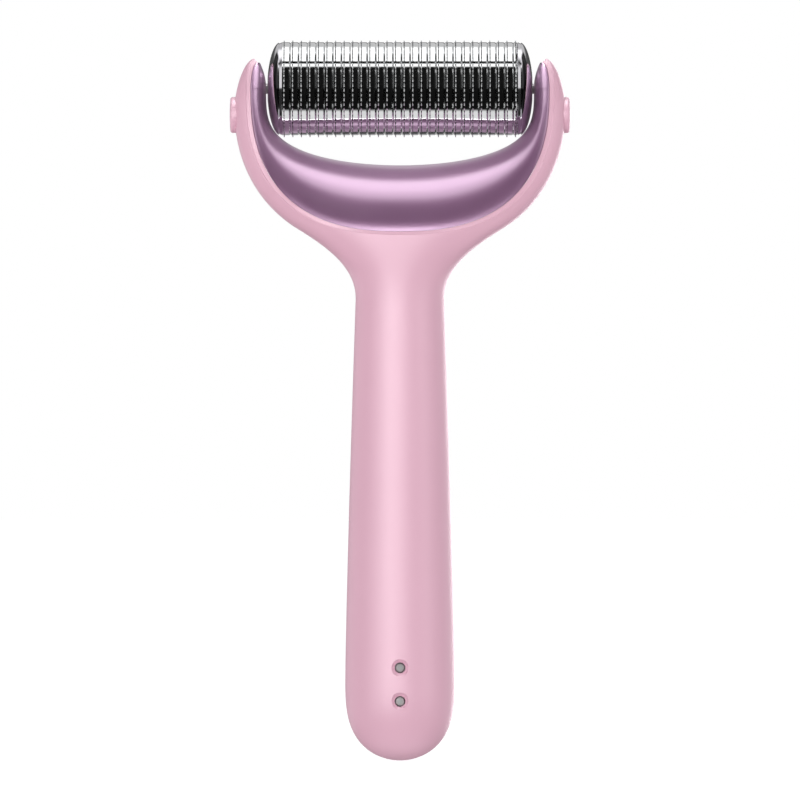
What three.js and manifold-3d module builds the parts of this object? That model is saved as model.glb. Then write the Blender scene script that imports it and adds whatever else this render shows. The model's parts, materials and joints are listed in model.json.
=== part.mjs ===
// Rechargeable derma roller: a needle drum that turns in a U-shaped yoke on a slim handle.
// Millimetres. +Z runs up from the handle's rounded end, the drum's axis is parallel to X,
// the charging contacts face -Y and the power button faces +Y.
import * as THREE from 'three';
import { mergeVertices } from 'three/addons/utils/BufferGeometryUtils.js';
import Module from 'manifold-3d';

const wasm = await Module();
wasm.setup();

// ---- driving dimensions -------------------------------------------------------------
const AXIS_Z = 158.6; // height of the drum's axis
const GAP = 0.3; // clearance between fixed neighbours
const SLIP = 0.05; // hairline between stacked or resting pieces
const OVERSHOOT = 60; // reach of a cutting tool past the body
const WELD = 1e-4; // vertices closer than this are one
const BISECTIONS = 30; // halvings when a curve is solved for a height

const HANDLE = {
  startZ: 0.02, // the rounded end's first section
  endLength: 19, // height of the rounded end
  halfWidth: 12.93, // widest, at the top of the rounded end
  flatter: 0.5, // how much the half-depth is less than the half-width
  taper: 0.00916, // half-width lost along the handle: taper * distance ** power
  taperPower: 1.244,
  neckZ: 108.7, // narrowest, where the flare begins
  sections: 6,
  endSections: 5,
};
const HEAD = {
  saddleZ: 124.8, // lowest point of the yoke's inner edge
  saddleHalfDepth: 11.1,
  topZ: 166.4, // where the arms' depth would reach zero
  depthPower: 2.6,
  squareness: [2.1, 4.0], // section exponent on the handle and on the arms
  squareAt: 145, // height where the section is fully square
  sectionsPerCurve: 5,
};
// The yoke's outline above the neck, as cubic curves through [half-width, height].
const HEAD_OUTLINE = [
  [[10.47, 108.7], [10.25, 116.1], [16.7, 120.9], [24.2, 125.5]],
  [[24.2, 125.5], [32.1, 130.4], [39.1, 139.5], [39.1, 153.8]],
  [[39.1, 153.8], [39.1, 156.4], [37.8, 164.0], [34.8, 165.65]],
];
const SHELL = { wall: 1.8, sides: 28, cavityFrom: 3.5, cavityTo: 120.5, cavitySections: 9 };

// The yoke's liner, a saddle between the two arms. Its edge and its crest are both
// superellipses about the drum's axis, and above the axis they run on to the arm tips.
const SADDLE = {
  edge: { halfWidth: 35.35, drop: 33.8, widthPower: 2.5, dropPower: 2.5 },
  crest: { halfWidth: 31.6, drop: 18.1, widthPower: 2.0, dropPower: 3.55 },
  tipRise: 6.9,
  tipEdgeWidth: 33.3,
  tipCrestWidth: 33.05,
  waist: 0.25, // share of the section's height below its widest point
  skin: 1.6,
  hollowBelow: 1, // how far the hollow opens below the edge
  armStations: 4,
  bowlStations: 13,
  roundSides: 10,
  bowlSpread: 1.8, // spreads the stations evenly along the bowl
  hollowFrom: 0.5, // share of the bowl's stations that stay solid, next to each arm
};

const DRUM = {
  rows: 28,
  pitch: 2.022,
  radius: 10.97,
  needleTip: 11.5,
  needleBase: 0.16, // half-width of a needle row at its foot
  rowInset: 0.43, // from a ring's edge to its needle row
  halfLength: 27.75,
  ringBore: 9.6,
  coreRadius: 9.5,
  coreBore: 8.3,
  sides: 14,
};
const FIRST_ROW_X = -DRUM.halfLength + DRUM.rowInset;
const CAP = {
  rim: 0.4, // straight part of the rim
  dome: 3.15,
  domeSteps: 4,
  hubBore: 2.75,
  hubWall: 1.45,
  spigotRadius: 8.2,
  spigotWall: 1.0,
  spigotLength: 2.8,
};
const BUSH = { radius: 2.65, bore: 1.3, from: 28.7, to: 31.15 };

// Release mechanism in each arm, given for the +X arm.
const POCKET = { x: [32.9, 37.0], halfDepth: 2.8, z: [146.9, 161.0] };
const RELEASE = {
  buttonZ: 152.4,
  buttonRadius: 4.25,
  buttonFace: 40.2,
  buttonFoot: 37.2,
  rounding: 0.5,
  holeClearance: 0.2,
  flange: { x: [36.3, 36.9], halfDepth: 2.5, z: [147.3, 156.2], neckRadius: 2.4 },
  stemRadius: 0.6,
  stemTip: 35.5,
  pivotX: 34.7,
  pivotZ: 155.5,
  rocker: { thickness: 1.0, halfDepth: 2.4, reach: 3.8, slot: 1.4, slotFrom: 156.9 },
  trunnion: { radius: 0.6, hole: 0.75, reach: 4.2, holeReach: 4.5 },
};
const PIN = {
  radius: 1.2,
  hole: 1.4,
  tip: 30.7,
  lead: 0.2,
  collarRadius: 1.9,
  collar: [35.4, 35.9],
  seatRadius: 0.7,
  tail: 36.05,
};
const SPRING = {
  x: [36.2, 36.8],
  radius: 1.25,
  widening: 0.3, // the last turn is this share wider than the first
  wire: 0.14,
  turns: 2,
  stepsPerTurn: 8,
  sides: 5,
};

// Electronics in the handle.
const BOARD = { x: 5.8, y: [3.8, 5.0], z: [33, 94] };
const CHASSIS = {
  x: 7.2,
  y: [1.8, 3.0],
  z: [23.5, 108],
  stop: { x: 4.6, fromY: -6.5, thickness: 1.1 },
  cheek: { thickness: 1.0, fromY: -4, z: [91, 97] },
};
const BATTERY = { radius: 5.0, y: -3.6, z: [36, 80], nubRadius: 1.6, nubHeight: 0.8 };
const MOTOR = { radius: 3.5, y: -3.6, z: [90, 106], boreRadius: 0.62, boreFrom: 102 };
const WEIGHT = { radius: 3.0, z: [107.2, 112.2], shaftRadius: 0.5, shaftFrom: 102.3 };
const POWER = {
  z: 88,
  radius: 4.0,
  hole: 4.2,
  flangeRadius: 4.8,
  seatRadius: 5.1,
  seatY: 8.2,
  flangeY: [7.3, 8.0],
  edgeY: 10.35,
  shoulder: [3.4, 10.75], // radius and height of a point on the crown
  dome: [2.0, 10.89],
  crownY: 10.95,
};
const SWITCH = { half: 3.0, y: [5.05, 6.3], bore: 1.4, plunger: 1.2, plungerY: [5.6, 7.2] };
const LIGHT = { z: 76, radius: 0.9, hole: 1.1, flange: 1.6, flangeY: [8.1, 8.9], y: [5.4, 11.0] };
const CONTACT = {
  z: { upper: 22.1, lower: 14.2 },
  pinRadius: 1.2,
  hole: 1.35,
  sinkRadius: 1.9,
  sinkDepth: 1.0,
  bossRadius: 3.2,
  bossOverlap: 0.4, // how far the boss runs on into the wall
  bossTo: -8.6,
  flangeRadius: 2.2,
  flangeY: [-8.3, -7.6],
  tailRadius: 0.6,
  tailTo: -6.0,
};
const MAGNET = { x: 2.5, y: [-5.7, -3.4], z: [12, 24.4] };
const POST = { x: 5.8, z: [27.5, 100], radius: 1.7, from: 3.3, pilot: 0.95, pilotTo: 6.9 };
const POST_PLACES = POST.z.flatMap((z) => [[-POST.x, z], [POST.x, z]]);
const SCREW = {
  head: 1.5,
  headY: [0.55, 1.75],
  recess: 0.5, // radius and depth of the drive recess
  shank: 0.8,
  taper: 0.5,
  tip: 6.6,
  hole: 1.0,
};
const ROUND = 16; // sides of the round pieces
const FINE = 12; // sides of small round pieces
const SPLIT = 0.15; // half of the seam between the two shells

// ---- finishes -----------------------------------------------------------------------
const finish = (color, roughness, metalness) =>
  () => new THREE.MeshStandardMaterial({ color, roughness, metalness });
const softPink = finish(0xe6bccb, 0.55, 0.0);
const mauveMetal = finish(0x9a6a92, 0.12, 1.0);
const needleSteel = finish(0xd6d8da, 0.15, 1.0);
const darkChrome = finish(0x4a4850, 0.1, 1.0);
const contactMetal = finish(0x9a9a9a, 0.3, 1.0);
const screwSteel = finish(0x8c8f94, 0.35, 1.0);
const whitePlastic = finish(0xe9e9e4, 0.5, 0.0);
const darkPlastic = finish(0x2b2d30, 0.5, 0.0);
const boardGreen = finish(0x1f5c3a, 0.45, 0.0);
const batteryWrap = finish(0x2f6fb0, 0.4, 0.0);
const lightPipe = finish(0xf4f1ec, 0.2, 0.0);

// ---- solids -------------------------------------------------------------------------
// A closed geometry with merged vertices, no slivers and outward faces.
function closed(geometry) {
  geometry.deleteAttribute('normal');
  geometry.deleteAttribute('uv');
  const merged = mergeVertices(geometry, WELD);
  const position = merged.getAttribute('position');
  const corners = [0, 1, 2].map(() => new THREE.Vector3());
  const kept = [];
  let volume = 0;
  for (let i = 0; i < merged.index.count; i += 3) {
    const [a, b, c] = [0, 1, 2].map((k) => merged.index.getX(i + k));
    if (a === b || b === c || c === a) continue;
    [a, b, c].forEach((vertex, k) => corners[k].fromBufferAttribute(position, vertex));
    volume += corners[0].dot(corners[1].clone().cross(corners[2]));
    kept.push([a, b, c]);
  }
  merged.setIndex(kept.flatMap(([a, b, c]) => (volume < 0 ? [a, c, b] : [a, b, c])));
  return merged;
}

function toSolid(geometry) {
  const mesh = closed(geometry);
  return new wasm.Manifold(new wasm.Mesh({
    numProp: 3,
    vertProperties: new Float32Array(mesh.getAttribute('position').array),
    triVerts: new Uint32Array(mesh.index.array),
  }));
}

function toGeometry(solid) {
  const { vertProperties, triVerts } = solid.getMesh();
  const geometry = new THREE.BufferGeometry();
  geometry.setAttribute('position', new THREE.BufferAttribute(vertProperties, 3));
  geometry.setIndex(new THREE.BufferAttribute(triVerts, 1));
  return geometry;
}

// A closed surface through rings of equal point counts, with a flat cap at each end.
function loft(rings) {
  const sides = rings[0].length;
  const centres = [rings[0], rings.at(-1)].map((ring) =>
    ring.reduce((sum, p) => sum.add(p), new THREE.Vector3()).divideScalar(sides));
  const points = [...rings.flat(), ...centres];
  const index = [];
  const last = (rings.length - 1) * sides;
  const firstCentre = rings.length * sides;
  for (let j = 0; j < sides; j++) {
    const k = (j + 1) % sides;
    for (let i = 0; i < last; i += sides) {
      index.push(i + j, i + k, i + sides + k, i + j, i + sides + k, i + sides + j);
    }
    index.push(firstCentre, k, j, firstCentre + 1, last + j, last + k);
  }
  const geometry = new THREE.BufferGeometry().setFromPoints(points);
  geometry.setIndex(index);
  return geometry;
}

function box([x0, x1], [y0, y1], [z0, z1]) {
  const geometry = new THREE.BoxGeometry(x1 - x0, y1 - y0, z1 - z0);
  return geometry.translate((x0 + x1) / 2, (y0 + y1) / 2, (z0 + z1) / 2);
}

const TURN_TO = {
  x: (geometry) => geometry.rotateZ(-Math.PI / 2),
  y: (geometry) => geometry,
  z: (geometry) => geometry.rotateX(Math.PI / 2),
};

// A turned piece: profile points are [radius, distance along the axis].
function turned(axis, profile, sides = ROUND) {
  const points = profile.map(([radius, along]) => new THREE.Vector2(radius, along));
  return TURN_TO[axis](closed(new THREE.LatheGeometry(points, sides)));
}

const rod = (axis, radius, [from, to], sides = ROUND) =>
  turned(axis, [[0, from], [radius, from], [radius, to], [0, to]], sides);

// A turned piece with a bore: its profile closes on itself.
const sleeve = (axis, profile, sides = ROUND) => turned(axis, [...profile, profile[0]], sides);

const unite = (first, ...rest) => rest.reduce((sum, solid) => sum.add(solid), first);
const cut = (first, ...rest) => rest.reduce((sum, solid) => sum.subtract(solid), first);

// ---- the outer form -----------------------------------------------------------------
const smooth = (from, to, value) => THREE.MathUtils.smoothstep(value, from, to);

function bezier([p0, p1, p2, p3], t) {
  const u = 1 - t;
  return [0, 1].map((k) =>
    u ** 3 * p0[k] + 3 * u * u * t * p1[k] + 3 * u * t * t * p2[k] + t ** 3 * p3[k]);
}

function headHalfWidth(z) {
  const curve = HEAD_OUTLINE.find((c) => z <= c[3][1]) ?? HEAD_OUTLINE.at(-1);
  let [low, high] = [0, 1];
  for (let i = 0; i < BISECTIONS; i++) {
    const middle = (low + high) / 2;
    if (bezier(curve, middle)[1] < z) low = middle;
    else high = middle;
  }
  return bezier(curve, low)[0];
}

function halfWidth(z) {
  if (z >= HANDLE.neckZ) return headHalfWidth(z);
  if (z >= HANDLE.endLength) {
    return HANDLE.halfWidth - HANDLE.taper * (z - HANDLE.endLength) ** HANDLE.taperPower;
  }
  return HANDLE.halfWidth * Math.sqrt(1 - (1 - z / HANDLE.endLength) ** 3);
}

function halfDepth(z) {
  const neckDepth = halfWidth(HANDLE.neckZ) - HANDLE.flatter;
  if (z <= HANDLE.endLength) {
    return halfWidth(z) * (1 - HANDLE.flatter / HANDLE.halfWidth);
  }
  if (z <= HANDLE.neckZ) return halfWidth(z) - HANDLE.flatter;
  if (z <= HEAD.saddleZ) {
    return neckDepth + (HEAD.saddleHalfDepth - neckDepth) * smooth(HANDLE.neckZ, HEAD.saddleZ, z);
  }
  const rise = Math.min(1, (z - HEAD.saddleZ) / (HEAD.topZ - HEAD.saddleZ));
  return HEAD.saddleHalfDepth * Math.sqrt(1 - rise ** HEAD.depthPower);
}

function squareness(z) {
  const [round, square] = HEAD.squareness;
  return round + (square - round) * smooth(HANDLE.neckZ, HEAD.squareAt, z);
}

// Depth of the outer form above a point of its front view.
function depthAt(x, z) {
  const power = squareness(z);
  const share = Math.min(1, Math.abs(x) / halfWidth(z));
  return halfDepth(z) * (1 - share ** power) ** (1 / power);
}

const signedPower = (value, power) => Math.sign(value) * Math.abs(value) ** power;

function ovalRing(z, width, depth, power, sides) {
  return Array.from({ length: sides }, (_, j) => {
    const angle = (2 * Math.PI * j) / sides;
    return new THREE.Vector3(
      width * signedPower(Math.cos(angle), 2 / power),
      depth * signedPower(Math.sin(angle), 2 / power),
      z,
    );
  });
}

const steps = (count) => Array.from({ length: count }, (_, i) => (i + 1) / count);

function outerForm() {
  const quarter = Math.PI / 2;
  const rounded = steps(HANDLE.endSections).map((t) =>
    HANDLE.endLength * (1 - Math.cos(quarter * t)));
  const straight = steps(HANDLE.sections).map((t) =>
    THREE.MathUtils.lerp(HANDLE.endLength, HANDLE.neckZ, t));
  const head = HEAD_OUTLINE.flatMap((curve) =>
    steps(HEAD.sectionsPerCurve).map((t) => bezier(curve, t)[1]));
  return toSolid(loft([HANDLE.startZ, ...rounded, ...straight, ...head].map((z) =>
    ovalRing(z, halfWidth(z), halfDepth(z), squareness(z), SHELL.sides))));
}

// The hollow of the handle. Above the neck it runs straight on, under the saddle.
function handleCavity() {
  const { cavityFrom, cavityTo, cavitySections, wall } = SHELL;
  const heights = [0, ...steps(cavitySections)].map((t) =>
    THREE.MathUtils.lerp(cavityFrom, cavityTo, t));
  return toSolid(loft(heights.map((z) => {
    const level = Math.min(z, HANDLE.neckZ);
    return ovalRing(z, halfWidth(level) - wall, halfDepth(level) - wall, HEAD.squareness[0], ROUND);
  })));
}

// ---- the saddle ---------------------------------------------------------------------
function curvePoint(curve, angle) {
  const x = curve.halfWidth * Math.cos(angle) ** (2 / curve.widthPower);
  const z = AXIS_Z - curve.drop * Math.sin(angle) ** (2 / curve.dropPower);
  return new THREE.Vector3(x, 0, z);
}

// Edge and crest of one half of the saddle, from the arm tip to the middle.
function saddleStations() {
  const { edge, crest, tipRise, tipEdgeWidth, tipCrestWidth } = SADDLE;
  const arm = steps(SADDLE.armStations).map((t) => {
    const rise = 1 - t + 1 / SADDLE.armStations;
    const z = AXIS_Z + tipRise * rise;
    const edgeX = tipEdgeWidth + (edge.halfWidth - tipEdgeWidth) * Math.sqrt(1 - rise ** 3);
    const crestX = crest.halfWidth + (tipCrestWidth - crest.halfWidth) * rise ** 2;
    return { edge: new THREE.Vector3(edgeX, 0, z), crest: new THREE.Vector3(crestX, 0, z) };
  });
  const bowl = [0, ...steps(SADDLE.bowlStations)].map((t) => {
    const angle = (Math.PI / 2) * t ** SADDLE.bowlSpread;
    return { edge: curvePoint(edge, angle), crest: curvePoint(crest, angle) };
  });
  return [...arm, ...bowl];
}

// One section: up from the rear edge, over the crest and down to the front edge.
function saddleRing({ edge, crest }, inset, belowEdge) {
  const up = crest.clone().sub(edge);
  const height = up.length();
  up.normalize();
  const lowAngle = Math.asin(SADDLE.waist / (1 - SADDLE.waist));
  const depth = depthAt(edge.x, edge.z) / Math.cos(lowAngle) - inset;
  const dome = height * (1 - SADDLE.waist) - inset;
  const start = inset > 0 ? 0 : -lowAngle;
  const ring = [0, ...steps(SADDLE.roundSides)].map((t) => {
    const angle = start + (Math.PI - 2 * start) * t;
    const along = height * SADDLE.waist + dome * Math.sin(angle);
    return edge.clone().addScaledVector(up, along).setY(-depth * Math.cos(angle));
  });
  const foot = (y) => edge.clone().addScaledVector(up, -belowEdge).setY(y);
  return belowEdge > 0 ? [foot(-depth), ...ring, foot(depth)] : ring;
}

const mirrored = ({ edge, crest }) => ({
  edge: edge.clone().setX(-edge.x),
  crest: crest.clone().setX(-crest.x),
});

function saddleLoft(stations, inset, belowEdge) {
  const across = [...stations, ...stations.slice(0, -1).reverse().map(mirrored)];
  return toSolid(loft(across.map((station) => saddleRing(station, inset, belowEdge))));
}

function saddleSolid() {
  const stations = saddleStations();
  const bowl = stations.slice(SADDLE.armStations + 1);
  const hollow = bowl.slice(Math.round(bowl.length * SADDLE.hollowFrom));
  return saddleLoft(stations, 0, 0).subtract(saddleLoft(hollow, SADDLE.skin, SADDLE.hollowBelow));
}

// The space between the arms that the saddle fills, open at the top.
function yokeSpace() {
  const stations = saddleStations();
  const grown = stations.map(({ edge }) => {
    const outward = edge.clone().setZ(edge.z - AXIS_Z).normalize();
    if (edge.z > AXIS_Z) return edge.clone().setX(edge.x + GAP);
    return edge.clone().addScaledVector(outward, GAP);
  });
  const top = grown[0].clone().setZ(AXIS_Z + OVERSHOOT);
  const half = [top, ...grown];
  const outline = [...half, ...half.slice(0, -1).reverse().map((p) => p.clone().setX(-p.x))];
  const shape = new THREE.Shape(outline.map((p) => new THREE.Vector2(p.x, p.z)));
  const prism = new THREE.ExtrudeGeometry(shape, { depth: OVERSHOOT, bevelEnabled: false });
  return toSolid(prism.rotateX(Math.PI / 2).translate(0, OVERSHOOT / 2, 0));
}

// ---- cutting tools shared by the housing pieces ------------------------------------
const bothSides = (solid) => solid.add(solid.mirror([1, 0, 0]));

const mechanismPocket = () => {
  const { x, halfDepth: y, z } = POCKET;
  return bothSides(toSolid(box(x, [-y, y], z)));
};

const trunnionHoles = () => {
  const { hole, holeReach } = RELEASE.trunnion;
  const bore = rod('y', hole, [-holeReach, holeReach], FINE);
  return bothSides(toSolid(bore.translate(RELEASE.pivotX, 0, RELEASE.pivotZ)));
};

const pinHoles = () => {
  const bore = rod('x', PIN.hole, [PIN.tip - 1, POCKET.x[0] + 1], FINE);
  return bothSides(toSolid(bore.translate(0, 0, AXIS_Z)));
};

const releaseButtonHoles = () => {
  const radius = RELEASE.buttonRadius + RELEASE.holeClearance;
  const bore = rod('x', radius, [POCKET.x[1] - 1, RELEASE.buttonFace + 1]);
  return bothSides(toSolid(bore.translate(0, 0, RELEASE.buttonZ)));
};

// ---- housing ------------------------------------------------------------------------
const contactFaceY = (z) => -(halfDepth(z) - CONTACT.sinkDepth);

function housingBlank() {
  const postRods = (radius, span) => POST_PLACES.map(([x, z]) =>
    toSolid(rod('y', radius, span, FINE).translate(x, 0, z)));
  const posts = postRods(POST.radius, [POST.from, OVERSHOOT]);
  const pilots = postRods(POST.pilot, [0, POST.pilotTo]);
  const contactHeights = Object.values(CONTACT.z);
  const bosses = contactHeights.map((z) =>
    toSolid(rod('y', CONTACT.bossRadius, [contactFaceY(z) - CONTACT.bossOverlap, CONTACT.bossTo])
      .translate(0, 0, z)));
  const sinks = contactHeights.map((z) =>
    toSolid(rod('y', CONTACT.sinkRadius, [-OVERSHOOT, contactFaceY(z) - SLIP]).translate(0, 0, z)));
  const contactHoles = contactHeights.map((z) =>
    toSolid(rod('y', CONTACT.hole, [-OVERSHOOT, 0], FINE).translate(0, 0, z)));
  const powerSeat = toSolid(rod('y', POWER.seatRadius, [0, POWER.seatY]).translate(0, 0, POWER.z));
  const powerHole = toSolid(rod('y', POWER.hole, [0, OVERSHOOT]).translate(0, 0, POWER.z));
  const lightHole = toSolid(rod('y', LIGHT.hole, [0, OVERSHOOT], FINE).translate(0, 0, LIGHT.z));
  const outside = outerForm();
  const hollow = cut(outside, yokeSpace(), handleCavity());
  return cut(
    unite(hollow, unite(...posts).intersect(outside), ...bosses),
    ...sinks, ...contactHoles, ...pilots, powerSeat, powerHole, lightHole,
    mechanismPocket(), trunnionHoles(), releaseButtonHoles(),
  );
}

function halfSpace(side) {
  const reach = 4 * OVERSHOOT;
  const y = side < 0 ? [-reach, -SPLIT] : [SPLIT, reach];
  return toSolid(box([-reach, reach], y, [-reach, reach]));
}

const housing = housingBlank();
const shellHalf = (side) => toGeometry(housing.intersect(halfSpace(side)));

const yokeSaddle = () =>
  toGeometry(cut(saddleSolid(), mechanismPocket(), trunnionHoles(), pinHoles()));

// ---- release mechanism, for the +X arm; the -X arm's is turned half round about Z ----
function releaseButton() {
  const { buttonFoot: foot, buttonFace: face, buttonRadius: r, rounding, flange, buttonZ } = RELEASE;
  const cap = toSolid(turned('x', [
    [0, foot - SLIP], [r, foot - SLIP], [r, face - rounding], [r - rounding / 2, face - rounding / 4],
    [r - rounding, face], [0, face],
  ]).translate(0, 0, buttonZ));
  const neck = toSolid(rod('x', flange.neckRadius, [flange.x[0], foot]).translate(0, 0, buttonZ));
  const ears = toSolid(box(flange.x, [-flange.halfDepth, flange.halfDepth], flange.z));
  const stem = toSolid(
    rod('x', RELEASE.stemRadius, [RELEASE.stemTip, foot], FINE).translate(0, 0, buttonZ));
  return toGeometry(unite(cap, neck, ears, stem));
}

function releaseRocker() {
  const { rocker, trunnion, pivotX, pivotZ } = RELEASE;
  const half = rocker.thickness / 2;
  const x = [pivotX - half, pivotX + half];
  const z = [pivotZ - rocker.reach, pivotZ + rocker.reach];
  const slotZ = [rocker.slotFrom, AXIS_Z + OVERSHOOT];
  const plate = toSolid(box(x, [-rocker.halfDepth, rocker.halfDepth], z));
  const slot = toSolid(box([0, OVERSHOOT], [-rocker.slot, rocker.slot], slotZ));
  const axle = toSolid(rod('y', trunnion.radius, [-trunnion.reach, trunnion.reach], FINE)
    .translate(pivotX, 0, pivotZ));
  return toGeometry(unite(cut(plate, slot), axle));
}

function drumPin() {
  const { radius, tip, lead, collar, collarRadius, seatRadius, tail } = PIN;
  return turned('x', [
    [0, tip], [radius - lead, tip], [radius, tip + lead], [radius, collar[0]],
    [collarRadius, collar[0]], [collarRadius, collar[1]], [seatRadius, collar[1]], [seatRadius, tail],
    [0, tail],
  ], FINE).translate(0, 0, AXIS_Z);
}

function releaseSpring() {
  const { x: [from, to], radius, widening, wire, turns, stepsPerTurn, sides } = SPRING;
  const coil = [0, ...steps(turns * stepsPerTurn)].map((t) => {
    const angle = 2 * Math.PI * turns * t;
    const along = THREE.MathUtils.lerp(from + wire, to - wire, t);
    const wide = radius * (1 + widening * t);
    return new THREE.Vector3(along, wide * Math.cos(angle), wide * Math.sin(angle));
  });
  const section = new THREE.Shape(Array.from({ length: sides }, (_, i) => {
    const angle = (2 * Math.PI * i) / sides;
    return new THREE.Vector2(wire * Math.cos(angle), wire * Math.sin(angle));
  }));
  const path = new THREE.CatmullRomCurve3(coil);
  const coiled = { extrudePath: path, steps: turns * stepsPerTurn };
  return closed(new THREE.ExtrudeGeometry(section, coiled)).translate(0, 0, AXIS_Z);
}

// ---- drum ---------------------------------------------------------------------------
// One ring: a barrel with a row of needles, drawn as a sharp crest round it.
function needleRing(index) {
  const rowX = FIRST_ROW_X + index * DRUM.pitch;
  const from = rowX - DRUM.rowInset;
  const to = Math.min(from + DRUM.pitch - SLIP, DRUM.halfLength);
  const { radius, needleTip, needleBase, ringBore, sides } = DRUM;
  return sleeve('x', [
    [ringBore, from], [radius, from], [radius, rowX - needleBase], [needleTip, rowX],
    [radius, rowX + needleBase], [radius, to], [ringBore, to],
  ], sides).translate(0, 0, AXIS_Z);
}

function drumCore() {
  const { coreRadius, coreBore, halfLength, sides } = DRUM;
  const ends = [-halfLength, halfLength];
  return sleeve('x', [
    [coreBore, ends[0]], [coreRadius, ends[0]], [coreRadius, ends[1]], [coreBore, ends[1]],
  ], sides).translate(0, 0, AXIS_Z);
}

function endCap() {
  const from = DRUM.halfLength + SLIP;
  const shoulder = from + CAP.rim;
  const domeAt = (radius) => shoulder + CAP.dome * Math.sqrt(1 - (radius / DRUM.radius) ** 2);
  const lastAngle = Math.acos(CAP.hubBore / DRUM.radius);
  const dome = steps(CAP.domeSteps).map((t) => DRUM.radius * Math.cos(lastAngle * t));
  const hub = CAP.hubBore + CAP.hubWall;
  const spigotBore = CAP.spigotRadius - CAP.spigotWall;
  return sleeve('x', [
    [DRUM.radius, from], [DRUM.radius, shoulder], ...dome.map((radius) => [radius, domeAt(radius)]),
    [CAP.hubBore, BUSH.from], [hub, BUSH.from], [hub, domeAt(hub) - CAP.hubWall],
    [spigotBore, domeAt(spigotBore) - CAP.hubWall], [spigotBore, from - CAP.spigotLength],
    [CAP.spigotRadius, from - CAP.spigotLength], [CAP.spigotRadius, from],
  ], DRUM.sides).translate(0, 0, AXIS_Z);
}

const endBushing = () => sleeve('x', [
  [BUSH.bore, BUSH.from], [BUSH.radius, BUSH.from], [BUSH.radius, BUSH.to], [BUSH.bore, BUSH.to],
], FINE).translate(0, 0, AXIS_Z);

// ---- power unit ---------------------------------------------------------------------
const powerButton = () => turned('y', [
  [0, POWER.flangeY[0]], [POWER.flangeRadius, POWER.flangeY[0]],
  [POWER.flangeRadius, POWER.flangeY[1]], [POWER.radius, POWER.flangeY[1]],
  [POWER.radius, POWER.edgeY], POWER.shoulder, POWER.dome, [0, POWER.crownY],
]);

const switchBody = () => toGeometry(cut(
  toSolid(box([-SWITCH.half, SWITCH.half], SWITCH.y, [POWER.z - SWITCH.half, POWER.z + SWITCH.half])),
  toSolid(rod('y', SWITCH.bore, [0, OVERSHOOT], FINE).translate(0, 0, POWER.z)),
));

const switchPlunger = () => rod('y', SWITCH.plunger, SWITCH.plungerY, FINE);

const lightGuide = () => turned('y', [
  [0, LIGHT.y[0]], [LIGHT.radius, LIGHT.y[0]], [LIGHT.radius, LIGHT.flangeY[0]],
  [LIGHT.flange, LIGHT.flangeY[0]], [LIGHT.flange, LIGHT.flangeY[1]],
  [LIGHT.radius, LIGHT.flangeY[1]], [LIGHT.radius, LIGHT.y[1]], [0, LIGHT.y[1]],
], FINE);

const batteryCell = () => turned('z', [
  [0, BATTERY.z[0]], [BATTERY.radius, BATTERY.z[0]], [BATTERY.radius, BATTERY.z[1]],
  [BATTERY.nubRadius, BATTERY.z[1]], [BATTERY.nubRadius, BATTERY.z[1] + BATTERY.nubHeight],
  [0, BATTERY.z[1] + BATTERY.nubHeight],
]).translate(0, BATTERY.y, 0);

const motorCan = () => turned('z', [
  [0, MOTOR.z[0]], [MOTOR.radius, MOTOR.z[0]], [MOTOR.radius, MOTOR.z[1]],
  [MOTOR.boreRadius, MOTOR.z[1]], [MOTOR.boreRadius, MOTOR.boreFrom], [0, MOTOR.boreFrom],
]).translate(0, MOTOR.y, 0);

function eccentricWeight() {
  const shaft = toSolid(rod('z', WEIGHT.shaftRadius, [WEIGHT.shaftFrom, WEIGHT.z[1]], FINE));
  const disc = toSolid(rod('z', WEIGHT.radius, WEIGHT.z));
  const side = toSolid(box([-OVERSHOOT, OVERSHOOT], [-OVERSHOOT, 0], WEIGHT.z));
  return toGeometry(shaft.add(disc.intersect(side)).translate([0, MOTOR.y, 0]));
}

function innerChassis() {
  const { x, y, z, stop, cheek } = CHASSIS;
  const plate = toSolid(box([-x, x], y, z));
  const below = (height) => height - GAP - stop.thickness;
  const stopHeights = [below(BATTERY.z[0]), BATTERY.z[1] + BATTERY.nubHeight + GAP, below(MOTOR.z[0])];
  const stops = stopHeights.map((from) =>
    toSolid(box([-stop.x, stop.x], [stop.fromY, y[1]], [from, from + stop.thickness])));
  const inner = MOTOR.radius + GAP;
  const cheeks = bothSides(toSolid(box([inner, inner + cheek.thickness], [cheek.fromY, y[1]], cheek.z)));
  const holes = POST_PLACES.map(([placeX, placeZ]) =>
    toSolid(rod('y', SCREW.hole, [-OVERSHOOT, OVERSHOOT], FINE).translate(placeX, 0, placeZ)));
  return toGeometry(cut(unite(plate, ...stops, cheeks), ...holes));
}

const chassisScrew = () => turned('y', [
  [0, SCREW.headY[0] + SCREW.recess], [SCREW.recess, SCREW.headY[0]], [SCREW.head, SCREW.headY[0]],
  [SCREW.head, SCREW.headY[1]], [SCREW.shank, SCREW.headY[1]],
  [SCREW.shank, SCREW.tip - SCREW.taper], [0, SCREW.tip],
], FINE);

const chargeContact = (z) => turned('y', [
  [0, contactFaceY(z)], [CONTACT.pinRadius, contactFaceY(z)], [CONTACT.pinRadius, CONTACT.flangeY[0]],
  [CONTACT.flangeRadius, CONTACT.flangeY[0]], [CONTACT.flangeRadius, CONTACT.flangeY[1]],
  [CONTACT.tailRadius, CONTACT.flangeY[1]], [CONTACT.tailRadius, CONTACT.tailTo], [0, CONTACT.tailTo],
], FINE);

// ---- assembly -----------------------------------------------------------------------
const roller = new THREE.Group();

function add(name, geometry, material, parent = roller) {
  const mesh = new THREE.Mesh(geometry, material());
  mesh.name = name;
  parent.add(mesh);
  return mesh;
}

add('back_shell', shellHalf(-1), softPink);
add('front_shell', shellHalf(1), softPink);
add('yoke_saddle', yokeSaddle(), mauveMetal);

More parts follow.
